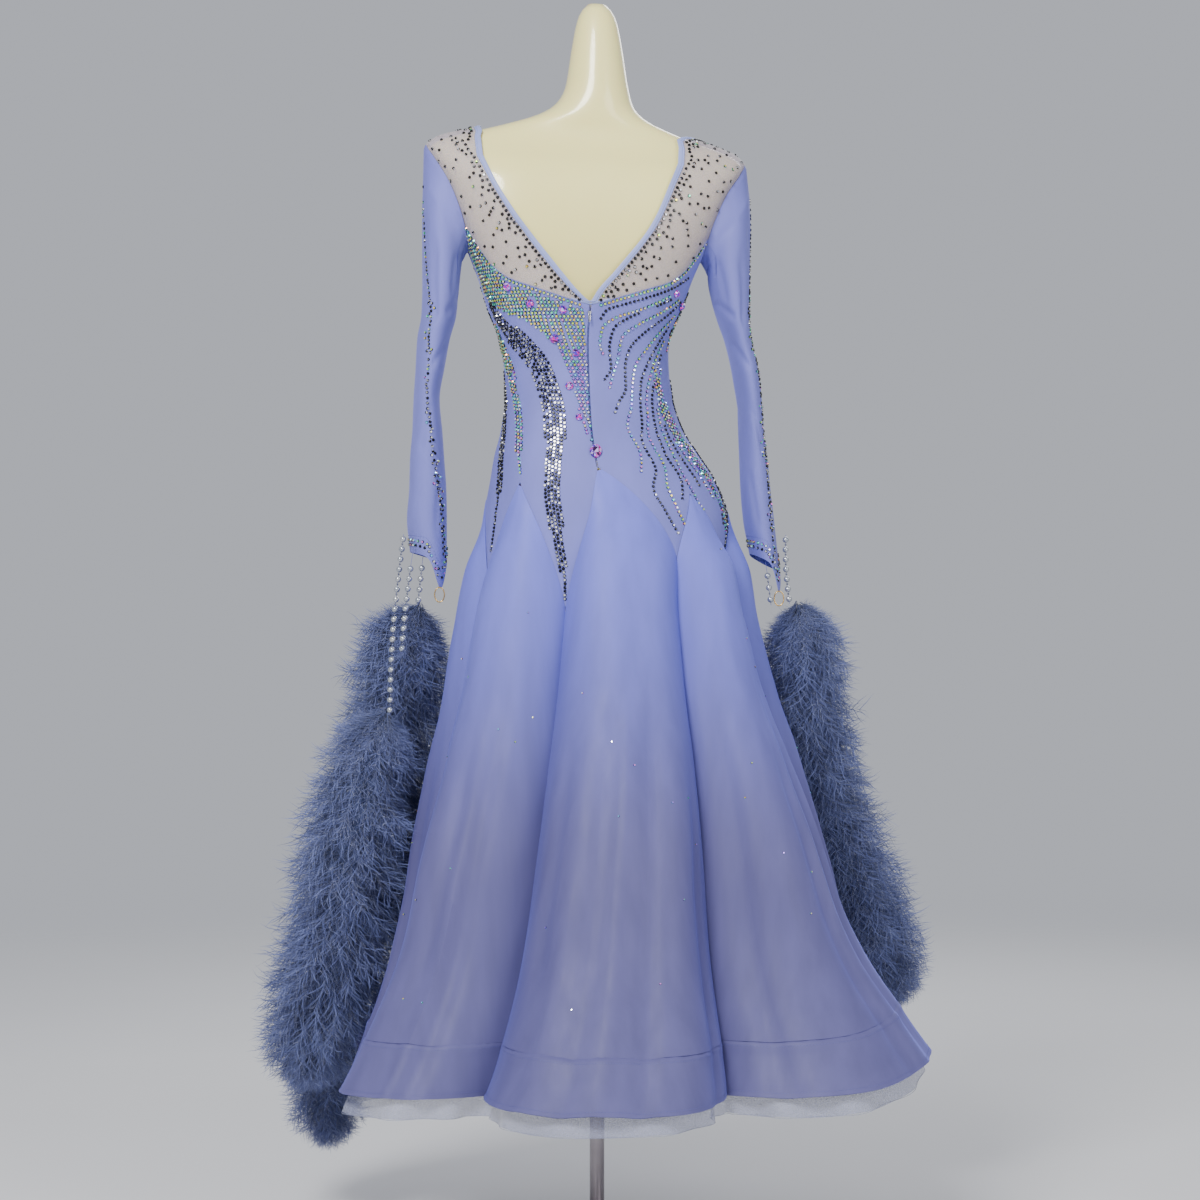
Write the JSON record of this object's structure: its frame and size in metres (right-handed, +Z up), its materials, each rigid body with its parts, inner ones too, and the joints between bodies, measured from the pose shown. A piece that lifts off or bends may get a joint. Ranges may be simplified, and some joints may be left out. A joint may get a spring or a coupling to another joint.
{
  "type": "ballroom gown on a dress form",
  "caption": "Long-sleeved ballroom gown with a low V back, sheer yoke, flared godet skirt and hanging feather boas, worn by a limbless dress form on a pole stand.",
  "frame": {"origin": "on the floor at the middle of the stand base's underside", "axes": "+Z up, the gown's back faces +Y, the wearer's left is +X"},
  "size_m": [0.8878, 0.7984, 1.6217],
  "materials": {
    "stretch_cloth": "smooth matt stretch knit",
    "organza": "fine satin organza over a matt underlayer",
    "band_cloth": "stiffened satin hem",
    "mesh_net": "sheer stretch net",
    "crin": "sheer stiff horsehair braid",
    "binding_cloth": "folded stretch binding",
    "marabou": "fluffy down feathers",
    "pearl": "pearl lacquer",
    "stone_glass": "faceted, iridescent foil back",
    "gold_wire": "polished",
    "zip_plastic": "dyed zip tape and coil",
    "zip_metal": "bright",
    "form_shell": "smooth cream shell",
    "stand_metal": "dull grey"
  },
  "bodies": {
    "gown_and_form": {"dress_form": "form_shell", "stand_pole": "stand_metal", "stand_base": "stand_metal", "bodice_back_left": "stretch_cloth", "bodice_back_right": "stretch_cloth", "bodice_front": "stretch_cloth", "yoke_left": "mesh_net", "yoke_right": "mesh_net", "neck_binding": "binding_cloth", "sleeve_left": "stretch_cloth", "sleeve_right": "stretch_cloth", "finger_loop_left": "gold_wire", "finger_loop_right": "gold_wire", "hem_band": "band_cloth", "hem_frill": "crin", "zip_tape": "zip_plastic", "zip_slider": "zip_metal", "centre_stone": "stone_glass", "godet_back": "organza", "godet_back_left": "organza", "godet_left": "organza", "godet_front_left": "organza", "godet_front": "organza", "godet_front_right": "organza", "godet_right": "organza", "godet_back_right": "organza", "pearls_left_long": "pearl", "pearls_left_middle": "pearl", "pearls_left_short": "pearl", "pearls_right_outer": "pearl", "pearls_right_inner": "pearl", "boa_left_short": "marabou", "boa_left_long": "marabou", "boa_right": "marabou", "stone_1": "stone_glass", "stone_2": "stone_glass", "stone_3": "stone_glass", "stone_4": "stone_glass", "stone_5": "stone_glass", "stone_6": "stone_glass", "stone_7": "stone_glass", "stone_8": "stone_glass", "stone_9": "stone_glass"},
    "pull_tab": {"zip_pull": "zip_metal"}
  },
  "joints": [
    {"name": "pull_tab_hinge", "type": "hinge", "parent": "gown_and_form", "child": "pull_tab", "pos_m": [0.01715, 0.08722, 1.20919], "axis": [1, 0, 0], "range_deg": [0, 150]}
  ]
}
